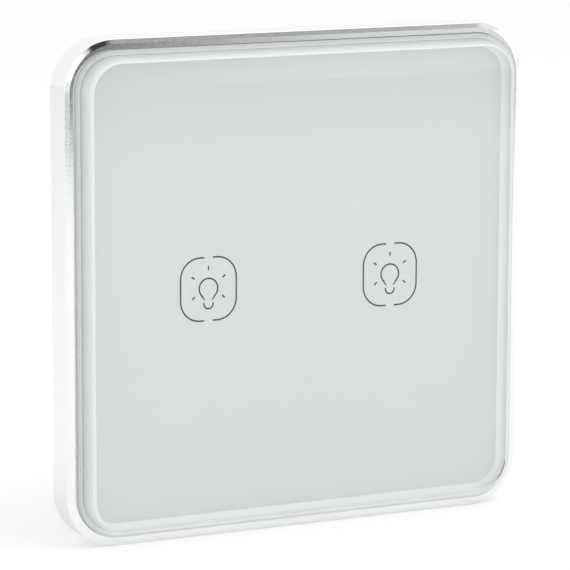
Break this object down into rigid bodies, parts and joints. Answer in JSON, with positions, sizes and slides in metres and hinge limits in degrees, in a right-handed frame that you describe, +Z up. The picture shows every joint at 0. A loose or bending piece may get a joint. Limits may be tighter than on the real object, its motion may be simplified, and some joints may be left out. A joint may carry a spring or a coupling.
{
  "type": "touch light switch",
  "caption": "Square touch light switch with a bevelled glass plate in a metal bezel, lamp symbols, and a boxed base for a wall box.",
  "frame": {"origin": "centre of the wall plane, midway between the two wall screw slots, on the flange's back face", "axes": "+Y points into the wall, +X to the right as seen from the room, +Z up; the glass faces -Y"},
  "size_m": [0.086, 0.0342, 0.086],
  "materials": {
    "glass": "clear tempered glass, polished",
    "print": "pale grey-green screen print on the back of the glass",
    "symbol": "dark translucent window in the print",
    "tape": "milky acrylic foam adhesive",
    "bezel": "fine matt silver with a bright rim",
    "carrier": "moulded white plastic",
    "clip": "spring steel, bright zinc",
    "housing": "fine textured white fire-retardant plastic",
    "cover": "moulded black plastic",
    "screw": "zinc plated",
    "board": "green solder mask on glass fibre laminate",
    "spring": "tinned spring wire",
    "lamp": "white lamp body with a yellowish lens",
    "chip": "black moulded epoxy with tinned leads",
    "connector": "black moulded connector",
    "terminal": "blue moulded polyamide",
    "terminal_steel": "yellow-zinc plated steel",
    "contact": "tinned brass",
    "relay_case": "black moulded case",
    "relay_plastic": "black moulded polyamide",
    "copper": "enamelled copper wire",
    "iron": "nickel plated soft iron",
    "leaf": "copper alloy spring leaf with a silver contact",
    "ferrite": "dark grey ferrite",
    "coil_tape": "yellow polyester tape over the coil",
    "capacitor": "dark sleeved aluminium can",
    "film_capacitor": "yellow moulded box",
    "varistor": "blue epoxy coat",
    "fuse": "black moulded box"
  },
  "bodies": {
    "base_unit": {"board_screws": "screw", "cover_screws": "screw", "film_capacitor": "film_capacitor", "front_cover": "cover", "fuse": "fuse", "key_lamp_left": "lamp", "key_lamp_right": "lamp", "link_header": "connector", "link_socket": "connector", "mounting_frame": "housing", "power_board": "board", "rear_housing": "housing", "rectifier": "chip", "relay_base_1": "relay_plastic", "relay_base_2": "relay_plastic", "relay_bobbin_1": "relay_plastic", "relay_bobbin_2": "relay_plastic", "relay_case_1": "relay_case", "relay_case_2": "relay_case", "relay_core_1": "iron", "relay_core_2": "iron", "relay_fixed_contact_1": "leaf", "relay_fixed_contact_2": "leaf", "relay_winding_1": "copper", "relay_winding_2": "copper", "relay_yoke_1": "iron", "relay_yoke_2": "iron", "smoothing_capacitor": "capacitor", "terminal_block": "terminal", "terminal_contact_1": "contact", "terminal_contact_2": "contact", "terminal_contact_3": "contact", "terminal_contact_4": "contact", "touch_board": "board", "touch_controller": "chip", "touch_spring_left": "spring", "touch_spring_right": "spring", "transformer_bobbin": "coil_tape", "transformer_core": "ferrite", "varistor": "varistor"},
    "front_panel": {"glass_panel": "glass", "back_print": "print", "key_symbols": "symbol", "bonding_tape": "tape", "bezel_frame": "bezel", "panel_carrier": "carrier", "panel_clips": "clip"},
    "clamp_screw_1": {"terminal_screw_1": "screw"},
    "clamp_cage_1": {"terminal_cage_1": "terminal_steel"},
    "clamp_screw_2": {"terminal_screw_2": "screw"},
    "clamp_cage_2": {"terminal_cage_2": "terminal_steel"},
    "clamp_screw_3": {"terminal_screw_3": "screw"},
    "clamp_cage_3": {"terminal_cage_3": "terminal_steel"},
    "clamp_screw_4": {"terminal_screw_4": "screw"},
    "clamp_cage_4": {"terminal_cage_4": "terminal_steel"},
    "armature_1": {"relay_armature_1": "iron", "relay_leaf_1": "leaf"},
    "armature_2": {"relay_armature_2": "iron", "relay_leaf_2": "leaf"}
  },
  "joints": [
    {"name": "panel_pull", "type": "slide", "parent": "base_unit", "child": "front_panel", "axis": [0, -1, 0], "range_m": [0, 0.015], "deforming": ["panel_clips"]},
    {"name": "clamp_screw_1_turn", "type": "hinge", "parent": "base_unit", "child": "clamp_screw_1", "pos_m": [-0.012, 0.017, -0.0208], "axis": [0, -1, 0], "range_deg": [0, 2880.5]},
    {"name": "clamp_cage_1_climb", "type": "slide", "parent": "base_unit", "child": "clamp_cage_1", "axis": [0, 1, 0], "range_m": [0, 0.004]},
    {"name": "clamp_screw_2_turn", "type": "hinge", "parent": "base_unit", "child": "clamp_screw_2", "pos_m": [-0.004, 0.017, -0.0208], "axis": [0, -1, 0], "range_deg": [0, 2880.5]},
    {"name": "clamp_cage_2_climb", "type": "slide", "parent": "base_unit", "child": "clamp_cage_2", "axis": [0, 1, 0], "range_m": [0, 0.004]},
    {"name": "clamp_screw_3_turn", "type": "hinge", "parent": "base_unit", "child": "clamp_screw_3", "pos_m": [0.004, 0.017, -0.0208], "axis": [0, -1, 0], "range_deg": [0, 2880.5]},
    {"name": "clamp_cage_3_climb", "type": "slide", "parent": "base_unit", "child": "clamp_cage_3", "axis": [0, 1, 0], "range_m": [0, 0.004]},
    {"name": "clamp_screw_4_turn", "type": "hinge", "parent": "base_unit", "child": "clamp_screw_4", "pos_m": [0.012, 0.017, -0.0208], "axis": [0, -1, 0], "range_deg": [0, 2880.5]},
    {"name": "clamp_cage_4_climb", "type": "slide", "parent": "base_unit", "child": "clamp_cage_4", "axis": [0, 1, 0], "range_m": [0, 0.004]},
    {"name": "armature_1_rock", "type": "hinge", "parent": "base_unit", "child": "armature_1", "pos_m": [-0.0136, 0.0184, 0.0036], "axis": [1, 0, 0], "range_deg": [0, 3], "stiffness_Nm_per_rad": 0.001, "springref_deg": -34.38},
    {"name": "armature_2_rock", "type": "hinge", "parent": "base_unit", "child": "armature_2", "pos_m": [-0.0026, 0.0184, 0.0036], "axis": [1, 0, 0], "range_deg": [0, 3], "stiffness_Nm_per_rad": 0.001, "springref_deg": -34.38}
  ],
  "couplings": [
    {"joint": "clamp_screw_1_turn", "follows": "clamp_cage_1_climb", "rad_per_m": 12566},
    {"joint": "clamp_screw_2_turn", "follows": "clamp_cage_2_climb", "rad_per_m": 12566},
    {"joint": "clamp_screw_3_turn", "follows": "clamp_cage_3_climb", "rad_per_m": 12566},
    {"joint": "clamp_screw_4_turn", "follows": "clamp_cage_4_climb", "rad_per_m": 12566}
  ]
}
